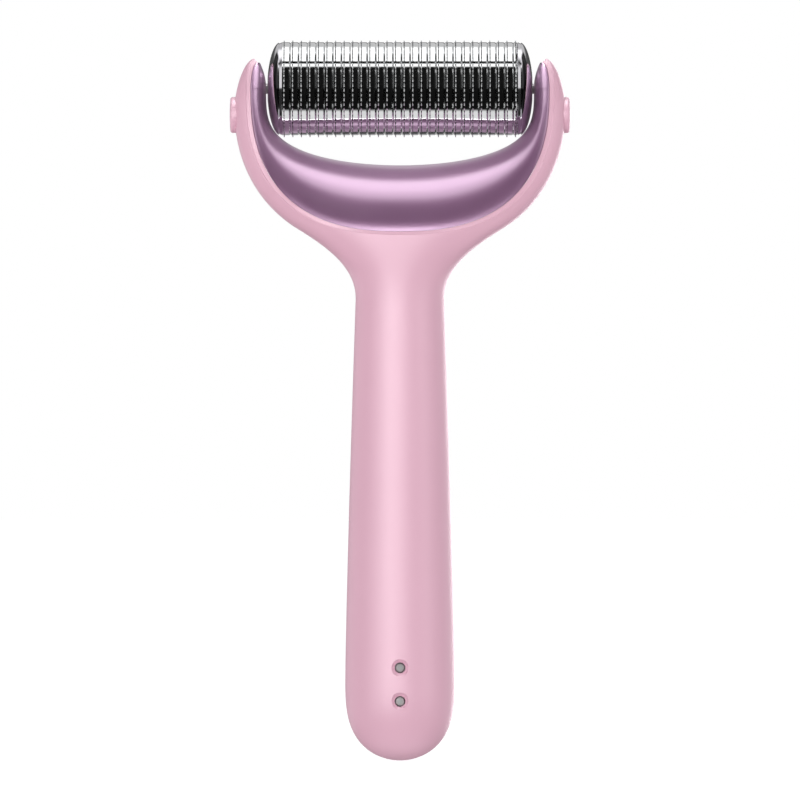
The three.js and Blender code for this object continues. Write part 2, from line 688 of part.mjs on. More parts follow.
add('power_button', powerButton(), softPink).position.z = POWER.z;
add('switch_body', switchBody(), darkPlastic);
add('switch_plunger', switchPlunger(), whitePlastic).position.z = POWER.z;
add('status_light_pipe', lightGuide(), lightPipe).position.z = LIGHT.z;
add('control_board', box([-BOARD.x, BOARD.x], BOARD.y, BOARD.z), boardGreen);
add('battery_cell', batteryCell(), batteryWrap);
add('motor_can', motorCan(), screwSteel);
add('eccentric_weight', eccentricWeight(), contactMetal);
add('inner_chassis', innerChassis(), whitePlastic);
add('charge_magnet', box([-MAGNET.x, MAGNET.x], MAGNET.y, MAGNET.z), screwSteel);
for (const [place, z] of Object.entries(CONTACT.z)) {
  add(`charge_contact_${place}`, chargeContact(z), contactMetal).position.z = z;
}
POST_PLACES.forEach(([x, z], i) => {
  add(`chassis_screw_${i + 1}`, chassisScrew(), screwSteel).position.set(x, 0, z);
});

for (let i = 0; i < DRUM.rows; i++) {
  add(`needle_ring_${String(i + 1).padStart(2, '0')}`, needleRing(i), needleSteel);
}
add('drum_core_tube', drumCore(), darkPlastic);

for (const side of ['left', 'right']) {
  const half = new THREE.Group();
  half.rotation.z = side === 'left' ? Math.PI : 0;
  roller.add(half);
  add(`release_button_${side}`, releaseButton(), softPink, half);
  add(`release_rocker_${side}`, releaseRocker(), whitePlastic, half);
  add(`drum_pin_${side}`, drumPin(), screwSteel, half);
  add(`release_spring_${side}`, releaseSpring(), screwSteel, half);
  add(`end_cap_${side}`, endCap(), darkChrome, half);
  add(`end_bushing_${side}`, endBushing(), whitePlastic, half);
}

export default roller;
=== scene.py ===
import json
import math

import bmesh
import bpy
import numpy as np
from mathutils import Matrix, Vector

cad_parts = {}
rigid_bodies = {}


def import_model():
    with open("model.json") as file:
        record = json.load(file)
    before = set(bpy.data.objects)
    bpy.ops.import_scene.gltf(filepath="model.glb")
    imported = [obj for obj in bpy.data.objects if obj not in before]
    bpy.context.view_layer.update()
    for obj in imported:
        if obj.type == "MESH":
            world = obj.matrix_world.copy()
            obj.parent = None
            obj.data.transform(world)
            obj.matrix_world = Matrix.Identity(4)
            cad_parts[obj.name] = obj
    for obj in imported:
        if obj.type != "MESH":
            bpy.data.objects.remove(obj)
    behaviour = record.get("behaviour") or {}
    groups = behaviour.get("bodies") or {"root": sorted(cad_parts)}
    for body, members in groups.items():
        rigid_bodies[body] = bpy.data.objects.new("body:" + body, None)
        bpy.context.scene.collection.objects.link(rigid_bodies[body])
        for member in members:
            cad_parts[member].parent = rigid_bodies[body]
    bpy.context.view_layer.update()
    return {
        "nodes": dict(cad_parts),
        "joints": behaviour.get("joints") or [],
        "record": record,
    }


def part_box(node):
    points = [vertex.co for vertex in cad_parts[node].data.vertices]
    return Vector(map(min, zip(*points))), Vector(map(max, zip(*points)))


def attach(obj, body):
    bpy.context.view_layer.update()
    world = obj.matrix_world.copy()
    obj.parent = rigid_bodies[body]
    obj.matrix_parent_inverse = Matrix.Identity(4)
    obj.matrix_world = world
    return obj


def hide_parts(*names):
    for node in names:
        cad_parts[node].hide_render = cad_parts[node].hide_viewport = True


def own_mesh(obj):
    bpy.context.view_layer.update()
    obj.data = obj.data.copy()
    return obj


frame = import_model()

# The visual model of the derma roller. Lengths are in millimetres in the row's frame, as in
# the CAD, and become metres when a mesh is made.
MM = 0.001
JOINTS = {joint["name"]: joint for joint in frame["joints"]}
BODIES = frame["record"]["behaviour"]["bodies"]
BODY_OF = {node: body for body, nodes in BODIES.items() for node in nodes}
TURN = 2 * math.pi
SIDES = {"left": -1, "right": 1}

# ---- driving dimensions --------------------------------------------------------------
AXIS_Z = JOINTS["drum_spin"]["pos_m"][2] / MM
SEAM = 0.05            # half of the parting line between the two shells
SEAM_DEPTH = 0.3       # how deep the parting line is
TONGUE_FROM = 0.6      # height where the tongue behind the parting line starts
TONGUE_BELOW_TIP = 1.4     # how far below the arms' tips it ends
HAIRLINE = 0.06        # gap between the saddle and the shells round it
REACH = 60.0           # how far a cutting tool reaches past the body

END_LENGTH = 19.0      # height of the handle's rounded end
HALF_WIDTH = 12.93     # greatest half-width of the handle
FLATTER = 0.5          # how much the half-depth is less than the half-width
TAPER, TAPER_POWER = 0.00916, 1.244
NECK_Z = 108.7         # height where the shaft ends and the head begins
SADDLE_Z, SADDLE_HALF_DEPTH = 124.8, 11.1
ARM_TOP_Z, ARM_POWER = 166.4, 2.6
ROUND_POWER, SQUARE_POWER, SQUARE_AT = 2.1, 4.0, 145.0
# Half of the head's outline, as Bezier curves from the neck to an arm's tip: X and Z.
HEAD_OUTLINE = (
    ((10.47, 108.7), (10.25, 116.1), (16.7, 120.9), (24.2, 125.5)),
    ((24.2, 125.5), (32.1, 130.4), (39.1, 139.5), (39.1, 153.8)),
    ((39.1, 153.8), (39.1, 156.4), (37.8, 164.0), (34.8, 165.65)),
)
WALL = 1.8                  # thickness of the handle's wall
CAVITY = (3.5, 120.5)       # heights between which the handle is hollow
RIM_WIDTHS = (0.75, 1.15)   # width of the rim that frames the saddle, at the middle and on the arms
RIM_SINK = 0.42             # how far the rim's inner edge lies below the outer surface
RIM_SHALLOW = 4.0           # depth of the surface below which the rim's sink shrinks with it
# The rim's section: shares of its width and of its sink, ending level with the surface.
RIM_SECTION = ((0.0, 1.0), (0.78, 0.46), (0.84, 0.42), (1.0, 0.0), (1.3, -0.1))
RIM_MIDDLE, RIM_ARM = 8.0, 30.0      # distances from the middle between which the width grows
RIM_OVERLAP, RIM_LIFT = 0.9, 5.0     # how far the rim's tool reaches inwards, and outwards

# The saddle's edge and crest in the front view: half-width, drop below the drum's axis, powers.
EDGE = dict(width=35.2, drop=33.8, width_power=2.5, drop_power=2.5)
CREST = dict(width=31.6, drop=18.1, width_power=2.0, drop_power=3.55)
TIP_RISE, TIP_EDGE, TIP_CREST = 6.1, 33.6, 33.05
BOWL_SPREAD = 1.8                    # crowds the bowl's stations towards the arms
CAD_WAIST = 0.25                     # share of the CAD section's height below its widest place
SHOULDER = (0.85, 1.05)              # from each arm's tip out and up to the open top

RELEASE_Z = 152.4                    # height of the release buttons
RELEASE_HOLE, RELEASE_HOLE_FROM = 4.38, 35.0
POWER_HOLE, LIGHT_HOLE = 4.15, 1.05
CONTACT_BORE = 1.26
# The sunken seat round each charging contact: radius, and height over the contact's face.
CONTACT_SEAT = ((2.12, 1.0), (1.9, 0.8), (1.86, 0.55), (1.3, 0.1), (0.0, 0.1))
# The pocket for the release mechanism in each arm, and the bores for its pin and its rocker.
POCKET = dict(x=(32.9, 37.0), y=(-2.8, 2.8), z=(146.9, 161.0))
PIN_BORE = dict(radius=1.4, span=(29.7, 33.9))
ROCKER_BORE = dict(radius=0.75, span=(-4.5, 4.5), x=34.7, z=155.5)


# ---- mesh helpers --------------------------------------------------------------------
def new_object(name, vertices, faces, material, sharp=35.0):
    """A piece from millimetre vertices, smooth except where it bends by more than sharp degrees."""
    mesh = bpy.data.meshes.new(name)
    mesh.from_pydata((np.asarray(vertices, float) * MM).tolist(), [], faces)
    mesh.validate()
    piece = bpy.data.objects.new(name, mesh)
    bpy.context.scene.collection.objects.link(piece)
    tidy(mesh, sharp)
    if material:
        mesh.materials.append(material)
    return piece


def tidy(mesh, sharp=35.0):
    work = bmesh.new()
    work.from_mesh(mesh)
    bmesh.ops.remove_doubles(work, verts=work.verts, dist=1e-8)
    bmesh.ops.recalc_face_normals(work, faces=work.faces)
    work.to_mesh(mesh)
    work.free()
    mesh.shade_smooth()
    mesh.set_sharp_from_angle(angle=math.radians(sharp))


def loft(rings):
    """Vertices and faces of a closed surface through equal rings, capped at both ends."""
    rings = np.asarray(rings, float)
    count, sides = rings.shape[:2]
    vertices = rings.reshape(-1, 3)
    faces = []
    for i in range(count - 1):
        for j in range(sides):
            k = (j + 1) % sides
            faces.append((i * sides + j, i * sides + k, (i + 1) * sides + k, (i + 1) * sides + j))
    faces.append(tuple(range(sides))[::-1])
    faces.append(tuple(range((count - 1) * sides, count * sides)))
    return vertices, faces


def revolve(profile, sides, axis, closed=False):
    """A turned shape: profile points are (radius, distance along the axis)."""
    profile = np.asarray(profile, float)
    angles = TURN * np.arange(sides) / sides
    radius, along = profile[:, 0], profile[:, 1]
    around = np.stack([np.cos(angles), np.sin(angles)], axis=1)
    order = {"x": (2, 0, 1), "y": (1, 2, 0)}[axis]
    cells = np.empty((len(profile), sides, 3))
    cells[..., 0] = radius[:, None] * around[:, 0]
    cells[..., 1] = radius[:, None] * around[:, 1]
    cells[..., 2] = along[:, None]
    vertices = cells.reshape(-1, 3)[:, order]
    rows = len(profile) if closed else len(profile) - 1
    faces = []
    for i in range(rows):
        below, above = i * sides, ((i + 1) % len(profile)) * sides
        for j in range(sides):
            k = (j + 1) % sides
            faces.append((below + j, below + k, above + k, above + j))
    return vertices, faces


def joined(*shapes):
    vertices, faces, offset = [], [], 0
    for points, cells in shapes:
        vertices.append(np.asarray(points, float))
        faces += [tuple(index + offset for index in cell) for cell in cells]
        offset += len(points)
    return np.concatenate(vertices), faces


def moved(shape, x=0.0, y=0.0, z=0.0):
    return shape[0] + np.array((x, y, z)), shape[1]


def turned_half(shape):
    """The same shape turned half round about Z, for the other arm."""
    return shape[0] * np.array((-1.0, -1.0, 1.0)), shape[1]


def on_side(shape, side):
    """A shape made for the right arm, on the arm that side tells."""
    return shape if side > 0 else turned_half(shape)


def block(x, y, z):
    corners = [(a, b, c) for c in z for b in y for a in x]
    faces = [(0, 2, 3, 1), (4, 5, 7, 6), (0, 1, 5, 4), (2, 6, 7, 3), (0, 4, 6, 2), (1, 3, 7, 5)]
    return np.array(corners, float), faces


def fillet(corner, before, after, radius, steps=5):
    """Points of a rounded corner in a profile, where both legs are longer than the radius."""
    corner, before, after = (np.array(p, float) for p in (corner, before, after))
    start = corner + radius * (before - corner) / np.linalg.norm(before - corner)
    end = corner + radius * (after - corner) / np.linalg.norm(after - corner)
    t = np.linspace(0, 1, steps + 1)[:, None]
    return list((1 - t) ** 2 * start + 2 * t * (1 - t) * corner + t ** 2 * end)


def rounded_profile(points, radius, closed=False):
    """Rounds every corner of a profile, apart from its two ends where it is open."""
    result = []
    count = len(points)
    for i, point in enumerate(points):
        if not closed and i in (0, count - 1):
            result.append(np.array(point, float))
            continue
        result += fillet(point, points[i - 1], points[(i + 1) % count], radius)
    return result


def boolean(piece, tools, operation="DIFFERENCE", others=()):
    """Applies boolean tools to a piece: millimetre shapes, and other objects, which stay."""
    cutters = [new_object("tool", vertices, faces, None) for vertices, faces in tools]
    for cutter in (*cutters, *others):
        modifier = piece.modifiers.new("cut", "BOOLEAN")
        modifier.operation = operation
        modifier.solver = "MANIFOLD"
        modifier.object = cutter
    graph = bpy.context.evaluated_depsgraph_get()
    mesh = bpy.data.meshes.new_from_object(piece.evaluated_get(graph))
    old = piece.data
    piece.modifiers.clear()
    piece.data = mesh
    mesh.name = piece.name
    bpy.data.meshes.remove(old)
    for cutter in cutters:
        bpy.data.meshes.remove(cutter.data)


def copy_of(source, name):
    copy = bpy.data.objects.new(name, source.data.copy())
    bpy.context.scene.collection.objects.link(copy)
    return copy


def node_box(node):
    """A CAD node's lowest and highest corners, in millimetres."""
    return [np.array(corner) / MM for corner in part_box(node)]


def node_centre(node):
    return sum(node_box(node)) / 2


# ---- the outer form ------------------------------------------------------------------
def bezier(points, t):
    p0, p1, p2, p3 = (np.array(p, float) for p in points)
    t = np.asarray(t, float)[:, None]
    return (1 - t) ** 3 * p0 + 3 * (1 - t) ** 2 * t * p1 + 3 * (1 - t) * t * t * p2 + t ** 3 * p3


FINE_T = np.linspace(0, 1, 500)
HEAD_CURVE = np.concatenate([bezier(curve, FINE_T) for curve in HEAD_OUTLINE])


def smooth(low, high, value):
    t = np.clip((value - low) / (high - low), 0, 1)
    return t * t * (3 - 2 * t)


def half_width(z):
    z = np.asarray(z, float)
    end = HALF_WIDTH * np.sqrt(np.clip(1 - (1 - np.clip(z / END_LENGTH, 0, 1)) ** 3, 0, 1))
    shaft = HALF_WIDTH - TAPER * np.clip(z - END_LENGTH, 0, None) ** TAPER_POWER
    head = np.interp(z, HEAD_CURVE[:, 1], HEAD_CURVE[:, 0])
    return np.where(z < END_LENGTH, end, np.where(z < NECK_Z, shaft, head))


def half_depth(z):
    z = np.asarray(z, float)
    neck = float(half_width(NECK_Z)) - FLATTER
    end = half_width(z) * (1 - FLATTER / HALF_WIDTH)
    shaft = half_width(z) - FLATTER
    flare = neck + (SADDLE_HALF_DEPTH - neck) * smooth(NECK_Z, SADDLE_Z, z)
    rise = np.clip((z - SADDLE_Z) / (ARM_TOP_Z - SADDLE_Z), 0, 1)
    arm = SADDLE_HALF_DEPTH * np.sqrt(1 - rise ** ARM_POWER)
    head = np.where(z <= SADDLE_Z, flare, arm)
    return np.where(z <= END_LENGTH, end, np.where(z <= NECK_Z, shaft, head))


def squareness(z):
    return ROUND_POWER + (SQUARE_POWER - ROUND_POWER) * smooth(NECK_Z, SQUARE_AT, np.asarray(z, float))


def depth_at(x, z):
    """Depth of the outer surface above a point of the front view."""
    power = squareness(z)
    share = np.clip(np.abs(x) / half_width(z), 0, 1)
    return half_depth(z) * (1 - share ** power) ** (1 / power)


def oval_ring(z, width, depth, power, sides):
    angle = TURN * np.arange(sides) / sides
    x = width * np.sign(np.cos(angle)) * np.abs(np.cos(angle)) ** (2 / power)
    y = depth * np.sign(np.sin(angle)) * np.abs(np.sin(angle)) ** (2 / power)
    return np.stack([x, y, np.full(sides, float(z))], axis=1)


def outer_form(sides=224, lowest=0.02):
    rounded = END_LENGTH * (1 - np.cos(np.linspace(0, math.pi / 2, 40)[1:]))
    shaft = np.linspace(END_LENGTH, NECK_Z, 60)[1:]
    head = np.concatenate([bezier(curve, np.linspace(0, 1, 44)[1:])[:, 1] for curve in HEAD_OUTLINE])
    heights = np.concatenate([[lowest], rounded, shaft, head])
    return loft([oval_ring(z, half_width(z), half_depth(z), squareness(z), sides) for z in heights])


def outer_normals(points):
    """Outward directions of the outer form at millimetre points."""
    def level(p):
        x, y, z = p.T
        power = squareness(z)
        return (np.abs(x) / half_width(z)) ** power + (np.abs(y) / half_depth(z)) ** power

    step = 0.02
    slopes = [level(points + step * axis) - level(points - step * axis) for axis in np.eye(3)]
    normals = np.stack(slopes, axis=1)
    return normals / np.maximum(np.linalg.norm(normals, axis=1, keepdims=True), 1e-12)


def handle_cavity():
    rings = []
    for z in np.linspace(CAVITY[0], CAVITY[1], 24):
        level = min(z, NECK_Z)
        rings.append(oval_ring(z, half_width(level) - WALL, half_depth(level) - WALL, ROUND_POWER, 64))
    return loft(rings)


# ---- the saddle's curves -------------------------------------------------------------
def curve_point(curve, angle):
    x = curve["width"] * np.cos(angle) ** (2 / curve["width_power"])
    z = AXIS_Z - curve["drop"] * np.sin(angle) ** (2 / curve["drop_power"])
    return np.array((x, 0.0, z))


def saddle_stations(arm_steps, bowl_steps):
    """Edge and crest points from the right arm's tip, through the middle, to the left tip."""
    pairs = []
    for rise in np.linspace(1, 0, arm_steps + 1)[:-1]:
        z = AXIS_Z + TIP_RISE * rise
        edge_x = TIP_EDGE + (EDGE["width"] - TIP_EDGE) * math.sqrt(1 - rise ** 2)
        crest_x = CREST["width"] + (TIP_CREST - CREST["width"]) * rise ** 2
        pairs.append((np.array((edge_x, 0, z)), np.array((crest_x, 0, z))))
    for share in np.linspace(0, 1, bowl_steps + 1):
        angle = min(math.pi / 2 * share ** BOWL_SPREAD, math.pi / 2 - 1e-6)
        pairs.append((curve_point(EDGE, angle), curve_point(CREST, angle)))
    flip = np.array((-1.0, 1.0, 1.0))
    return pairs + [(edge * flip, crest * flip) for edge, crest in pairs[-2::-1]]


def edge_directions(stations):
    """Outward directions of the saddle's edge curve, in the plane of the front view."""
    edges = np.array([edge for edge, _ in stations])
    tangent = np.gradient(edges, axis=0)
    outward = np.stack([tangent[:, 2], np.zeros(len(edges)), -tangent[:, 0]], axis=1)
    centre = np.array((0.0, 0.0, AXIS_Z))
    outward *= np.sign(np.sum(outward * (edges - centre), axis=1))[:, None]
    return outward / np.linalg.norm(outward, axis=1, keepdims=True)


# ---- materials -----------------------------------------------------------------------
NOISE_LOW, NOISE_HIGH = 0.3, 0.7     # the noise values between which a finish varies


class Finish:
    """A node material built step by step round one Principled shader."""

    def __init__(self, name, colour, roughness, metallic=0.0, **fixed):
        self.material = bpy.data.materials.new(name)
        self.material.use_nodes = True
        self.nodes = self.material.node_tree.nodes
        self.links = self.material.node_tree.links
        self.shader = self.nodes["Principled BSDF"]
        self.set("Base Color", (*colour, 1.0))
        self.set("Roughness", roughness)
        self.set("Metallic", metallic)
        for socket, value in fixed.items():
            self.set(socket.replace("_", " "), value)
        self.place = self.node("ShaderNodeTexCoord").outputs["Object"]

    def set(self, socket, value):
        self.shader.inputs[socket].default_value = value

    def node(self, kind, **settings):
        node = self.nodes.new(kind)
        for key, value in settings.items():
            setattr(node, key, value)
        return node

    def stretched(self, scale):
        mapping = self.node("ShaderNodeMapping")
        self.links.new(self.place, mapping.inputs["Vector"])
        mapping.inputs["Scale"].default_value = scale
        return mapping.outputs["Vector"]

    def noise(self, scale, detail=3.0, stretch=None):
        texture = self.node("ShaderNodeTexNoise")
        self.links.new(self.stretched(stretch) if stretch else self.place, texture.inputs["Vector"])
        texture.inputs["Scale"].default_value = scale
        texture.inputs["Detail"].default_value = detail
        return texture.outputs["Fac"]

    def remapped(self, value, low, high):
        node = self.node("ShaderNodeMapRange")
        self.links.new(value, node.inputs["Value"])
        node.inputs["From Min"].default_value = NOISE_LOW
        node.inputs["From Max"].default_value = NOISE_HIGH
        node.inputs["To Min"].default_value = low
        node.inputs["To Max"].default_value = high
        return node.outputs["Result"]

    def vary_roughness(self, value, low, high):
        self.links.new(self.remapped(value, low, high), self.shader.inputs["Roughness"])

    def vary_colour(self, value, first, second):
        ramp = self.node("ShaderNodeValToRGB")
        ramp.color_ramp.elements[0].position = NOISE_LOW
        ramp.color_ramp.elements[1].position = NOISE_HIGH
        ramp.color_ramp.elements[0].color = (*first, 1.0)
        ramp.color_ramp.elements[1].color = (*second, 1.0)
        self.links.new(value, ramp.inputs["Fac"])
        self.links.new(ramp.outputs["Color"], self.shader.inputs["Base Color"])

    def bump(self, value, strength, distance):
        node = self.node("ShaderNodeBump")
        node.inputs["Strength"].default_value = strength
        node.inputs["Distance"].default_value = distance
        self.links.new(value, node.inputs["Height"])
        self.links.new(node.outputs["Normal"], self.shader.inputs["Normal"])


def soft_pink():
    """Soft-touch paint: satin, with a very fine grain and a faint sheen."""
    pink = Finish("soft_touch_pink", (0.70, 0.39, 0.50), 0.45, Specular_IOR_Level=1.0)
    tone = pink.noise(22.0, 2.0)
    pink.vary_colour(tone, (0.695, 0.385, 0.495), (0.710, 0.398, 0.508))
    grain = pink.noise(5200.0, 2.0)
    pink.vary_roughness(pink.noise(900.0, 3.0), 0.43, 0.48)
    pink.bump(grain, 0.10, 0.00003)
    return pink.material


def mauve_chrome():
    """Tinted plating over polished plastic, with the faintest waviness."""
    mauve = Finish("mauve_chrome", (0.34, 0.142, 0.308), 0.38, 0.45, IOR=2.2,
                   Coat_Weight=1.0, Coat_Roughness=0.30, Coat_IOR=2.0)
    mauve.vary_colour(mauve.noise(30.0, 2.0), (0.332, 0.136, 0.300), (0.350, 0.149, 0.318))
    mauve.vary_roughness(mauve.noise(160.0, 4.0), 0.38, 0.42)
    mauve.bump(mauve.noise(60.0, 1.0), 0.05, 0.0001)
    return mauve.material


def needle_steel():
    """Polished steel with fine turning marks round the drum."""
    steel = Finish("needle_steel", (0.84, 0.85, 0.86), 0.07, 1.0)
    marks = steel.noise(900.0, 2.0, stretch=(8.0, 0.15, 0.15))
    steel.vary_colour(steel.noise(350.0, 2.0), (0.80, 0.81, 0.82), (0.88, 0.885, 0.89))
    steel.vary_roughness(marks, 0.05, 0.11)
    steel.bump(marks, 0.06, 0.00002)
    return steel.material


def dark_chrome():
    """Dark polished plating on the drum's domed ends."""
    dark = Finish("dark_chrome", (0.74, 0.73, 0.76), 0.06, 1.0)
    dark.vary_colour(dark.noise(120.0, 2.0), (0.72, 0.71, 0.74), (0.77, 0.76, 0.79))
    dark.vary_roughness(dark.noise(420.0, 3.0), 0.05, 0.10)
    return dark.material


def shaded(colour, share):
    return tuple(min(1.0, share * c) for c in colour)


def turned_metal(name, colour, roughness, across, metallic):
    """Plain machined metal; across is the axis that the tool marks run round."""
    metal = Finish(name, colour, roughness, metallic)
    stretch = {"y": (1.0, 14.0, 1.0), "x": (14.0, 1.0, 1.0)}[across]
    marks = metal.noise(700.0, 3.0, stretch=stretch)
    metal.vary_colour(metal.noise(500.0, 3.0), shaded(colour, 0.88), shaded(colour, 1.06))
    metal.vary_roughness(marks, roughness - 0.06, roughness + 0.08)
    metal.bump(marks, 0.12, 0.00003)
    return metal.material


def moulded(name, colour, roughness):
    """Moulded plastic with a fine spark-eroded texture."""
    plastic = Finish(name, colour, roughness)
    plastic.vary_colour(plastic.noise(60.0, 3.0), shaded(colour, 0.94), shaded(colour, 1.04))
    plastic.vary_roughness(plastic.noise(500.0, 3.0), roughness - 0.05, roughness + 0.06)
    plastic.bump(plastic.noise(3000.0, 3.0), 0.15, 0.00004)
    return plastic.material


def circuit_board():
    """Solder mask over a net of copper tracks."""
    board = Finish("board_green", (0.02, 0.12, 0.05), 0.35, Coat_Weight=0.4)
    tracks = board.node("ShaderNodeTexBrick")
    board.links.new(board.place, tracks.inputs["Vector"])
    tracks.inputs["Scale"].default_value = 420.0
    tracks.inputs["Mortar Size"].default_value = 0.06
    tracks.inputs["Color1"].default_value = (0.012, 0.10, 0.04, 1.0)
    tracks.inputs["Color2"].default_value = (0.018, 0.13, 0.05, 1.0)
    tracks.inputs["Mortar"].default_value = (0.05, 0.26, 0.10, 1.0)
    board.links.new(tracks.outputs["Color"], board.shader.inputs["Base Color"])
    board.bump(tracks.outputs["Fac"], 0.3, 0.00005)
    return board.material


def light_guide_plastic():
    """Milky plastic that lets a little light through."""
    guide = Finish("light_pipe", (0.90, 0.89, 0.87), 0.22, Subsurface_Weight=0.2,
                   Subsurface_Radius=(0.001, 0.001, 0.001))
    guide.vary_roughness(guide.noise(400.0, 2.0), 0.18, 0.28)
    guide.bump(guide.noise(1500.0, 2.0), 0.05, 0.00003)
    return guide.material


FINISHES = {
    "soft_touch_pink": soft_pink(),
    "mauve_chrome": mauve_chrome(),
    "needle_steel": needle_steel(),
    "dark_chrome": dark_chrome(),
    "contact_metal": turned_metal("contact_metal", (0.58, 0.62, 0.60), 0.40, "y", 0.4),
    "screw_steel": turned_metal("screw_steel", (0.62, 0.60, 0.61), 0.34, "x", 0.6),
    "white_plastic": moulded("white_plastic", (0.78, 0.78, 0.75), 0.45),
    "dark_plastic": moulded("dark_plastic", (0.025, 0.027, 0.03), 0.42),
    "board_green": circuit_board(),
    "battery_wrap": moulded("battery_wrap", (0.03, 0.16, 0.42), 0.33),
    "light_pipe": light_guide_plastic(),
}


def repaint(piece, slot):
    """One finish on a cut piece, in place of the empty slots that its tools leave."""
    piece.data.materials.clear()
    piece.data.materials.append(FINISHES[slot])


def keep(piece, node):
    """Puts a piece in its node's place and on its node's body."""
    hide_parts(node)
    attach(piece, BODY_OF[node])
    return piece


def make_from(node, shape, slot, **options):
    """A piece of its own shape and finish in a node's place."""
    piece = new_object(f"{node}_form", *shape, FINISHES[slot], **options)
    return keep(piece, node)


# ---- shells --------------------------------------------------------------------------
TOOL_STATIONS = (24, 110)            # steps on each arm and on half of the bowl


def yoke_space():
    """The space between the arms, as a prism along Y that is open at the top."""
    stations = saddle_stations(*TOOL_STATIONS)
    edges = np.array([edge for edge, _ in stations]) + HAIRLINE * edge_directions(stations)
    out, up = SHOULDER
    shoulder = edges[[0, -1]] + np.array(((out, 0, up), (-out, 0, up)))
    top = shoulder.copy()
    top[:, 2] = AXIS_Z + REACH
    outline = np.concatenate([top[:1], shoulder[:1], edges, shoulder[1:], top[1:]])
    rings = [outline + np.array((0, y, 0)) for y in (-REACH / 2, REACH / 2)]
    return loft(rings)


def rim_sink(edge):
    """Depth of the saddle's edge, and how far that lies below the outer surface."""
    rim = float(depth_at(edge[0], edge[2]))
    sink = RIM_SINK * min(1.0, rim / RIM_SHALLOW)
    return rim - sink, sink


def rim_tool(side):
    """Bevels the shells round the saddle on one face; side is -1 at the rear."""
    stations = saddle_stations(*TOOL_STATIONS)
    rings = []
    for (edge, _), out in zip(stations, edge_directions(stations)):
        sink = rim_sink(edge)[1]
        width = np.interp(abs(edge[0]), (RIM_MIDDLE, RIM_ARM), RIM_WIDTHS)
        section = []
        for across, down in RIM_SECTION:
            point = edge + (HAIRLINE + across * width) * out
            section.append((point, float(depth_at(point[0], point[2])) - down * sink))
        lift = section[0][1] + RIM_LIFT
        inner = edge - RIM_OVERLAP * out
        section = [(inner, section[0][1]), *section, (section[-1][0], lift), (inner, lift)]
        rings.append([point + np.array((0, side * y, 0)) for point, y in section])
    return loft(rings)


def turned_tool(axis, radius, span, x=0.0, y=0.0, z=0.0, sides=96):
    profile = [(0.0, span[0]), (radius, span[0]), (radius, span[1]), (0.0, span[1])]
    return moved(revolve(profile, sides, axis), x, y, z)


def outer_hole_tools():
    """Holes and counterbores for what shows on the outside of the shells."""
    tools = []
    for place in ("upper", "lower"):
        contact = f"charge_contact_{place}"
        face, height = node_box(contact)[0][1], node_centre(contact)[2]
        seat = [(0.0, -REACH), (CONTACT_SEAT[0][0], -REACH)]
        seat += [(radius, face - over) for radius, over in CONTACT_SEAT]
        tools.append(moved(revolve(seat, 96, "y"), z=height))
        tools.append(turned_tool("y", CONTACT_BORE, (-REACH, 0.0), z=height))
    for node, radius in (("power_button", POWER_HOLE), ("status_light_pipe", LIGHT_HOLE)):
        tools.append(turned_tool("y", radius, (0.0, REACH), z=node_centre(node)[2]))
    for side in SIDES.values():
        span = sorted((side * RELEASE_HOLE_FROM, side * REACH))
        tools.append(turned_tool("x", RELEASE_HOLE, span, z=RELEASE_Z))
    return tools


def mechanism_tools():
    """Cutters for the pocket and the two bores in each arm."""
    pocket = block(**POCKET)
    pin = turned_tool("x", **PIN_BORE, z=AXIS_Z)
    rocker = turned_tool("y", **ROCKER_BORE)
    return [on_side(shape, side) for side in SIDES.values() for shape in (pocket, pin, rocker)]


SAME_FACE = math.cos(math.radians(14))


def shape_normals(mesh):
    """Gives the outer surface the true form's normals, and leaves cut faces as they are."""
    count = len(mesh.vertices)
    points = np.empty(count * 3)
    mesh.vertices.foreach_get("co", points)
    true = outer_normals(points.reshape(-1, 3) / MM)
    face_normals = np.empty(len(mesh.polygons) * 3)
    mesh.polygons.foreach_get("normal", face_normals)
    face_normals = face_normals.reshape(-1, 3)
    loop_vertex = np.empty(len(mesh.loops), dtype=np.int32)
    mesh.loops.foreach_get("vertex_index", loop_vertex)
    totals = np.empty(len(mesh.polygons), dtype=np.int32)
    mesh.polygons.foreach_get("loop_total", totals)
    loop_face = np.repeat(np.arange(len(mesh.polygons)), totals)
    agree = np.sum(true[loop_vertex] * face_normals[loop_face], axis=1) > SAME_FACE
    custom = np.where(agree[:, None], true[loop_vertex], 0.0)
    mesh.normals_split_custom_set(custom.tolist())


def slab(rear, front):
    """All of the body between two depths."""
    return block((-REACH, REACH), (rear, front), (-REACH, 4 * REACH))


def seam_tongue(body):
    """A tongue inside the parting line, so that it is a groove and not an open slit."""
    tongue = copy_of(body, "tongue")
    thinnest = 0.1
    rings = []
    for z in np.linspace(TONGUE_FROM, ARM_TOP_Z - TONGUE_BELOW_TIP, 260):
        width, depth = half_width(z) - SEAM_DEPTH, half_depth(z) - SEAM_DEPTH
        rings.append(oval_ring(z, max(width, thinnest), max(depth, thinnest), squareness(z), 96))
    boolean(tongue, [loft(rings)], "INTERSECT")
    boolean(tongue, [slab(-0.9 * SEAM, 1.4 * SEAM)], "INTERSECT")
    return tongue


def make_shells():
    body = new_object("body", *outer_form(), None)
    hollows = [yoke_space(), rim_tool(-1), rim_tool(1), handle_cavity()]
    boolean(body, [*hollows, *outer_hole_tools(), *mechanism_tools()])
    for node, depths in (("back_shell", (-REACH, -SEAM)), ("front_shell", (SEAM, REACH))):
        shell = copy_of(body, f"{node}_form")
        boolean(shell, [slab(*depths)], "INTERSECT")
        if node == "front_shell":
            tongue = seam_tongue(body)
            boolean(shell, [], "UNION", others=[tongue])
            bpy.data.objects.remove(tongue)
        tidy(shell.data, 15.0)
        shape_normals(shell.data)
        repaint(shell, "soft_touch_pink")
        keep(shell, node)
    bpy.data.objects.remove(body)


